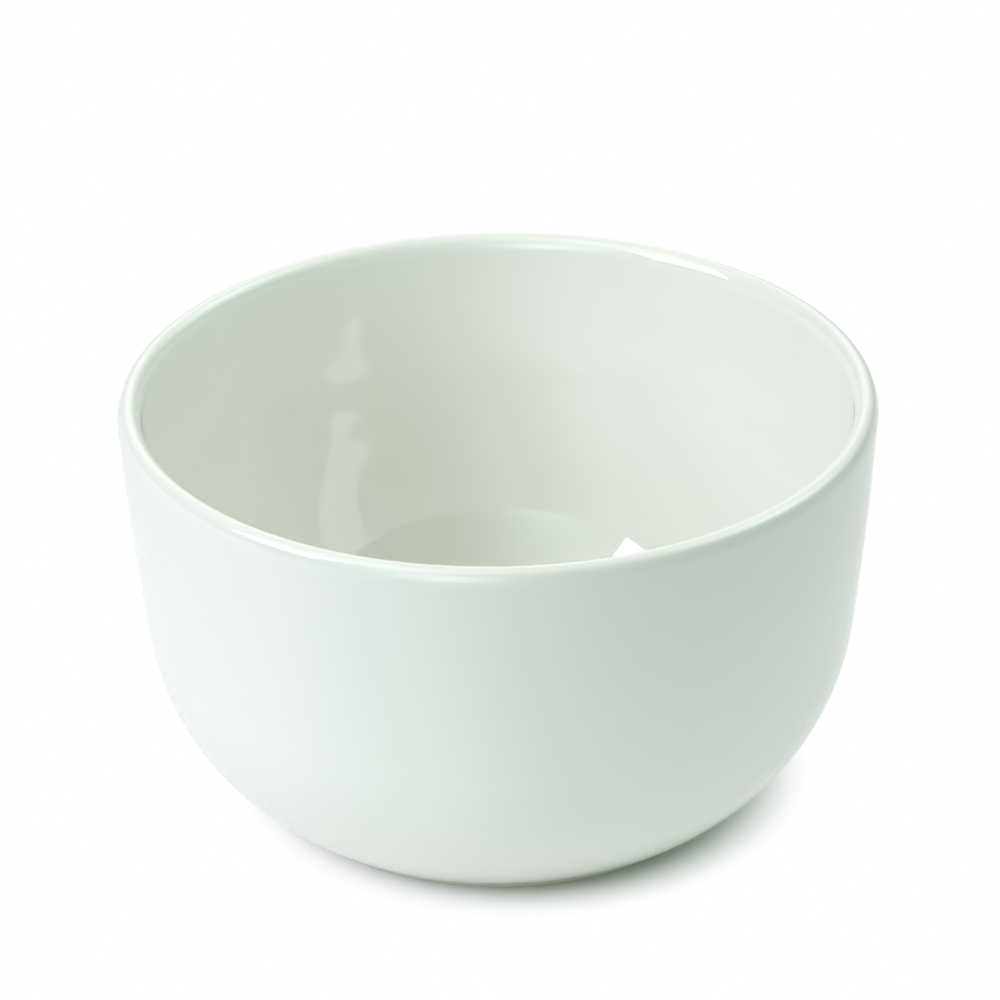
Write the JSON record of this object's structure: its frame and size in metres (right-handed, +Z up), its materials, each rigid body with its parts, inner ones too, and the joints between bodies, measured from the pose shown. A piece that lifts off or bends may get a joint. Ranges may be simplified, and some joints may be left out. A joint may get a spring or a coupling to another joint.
{
  "type": "latte bowl",
  "caption": "Deep handleless porcelain latte bowl with a near-upright wall, rounded belly and lip, glossy white glaze and a low bare foot ring.",
  "frame": {"origin": "centre of the foot plane, on the bowl's axis", "axes": "+Z up the bowl's axis, out of its mouth; X and Y are free, because the bowl is round"},
  "size_m": [0.13, 0.13, 0.0745],
  "materials": {
    "bare_porcelain": "fired, unglazed, fine matt",
    "white_glaze": "fired white glaze, high gloss"
  },
  "bodies": {
    "root": {"porcelain_body": "bare_porcelain", "glaze_coat": "white_glaze", "foot_well_glaze": "white_glaze"}
  },
  "joints": []
}
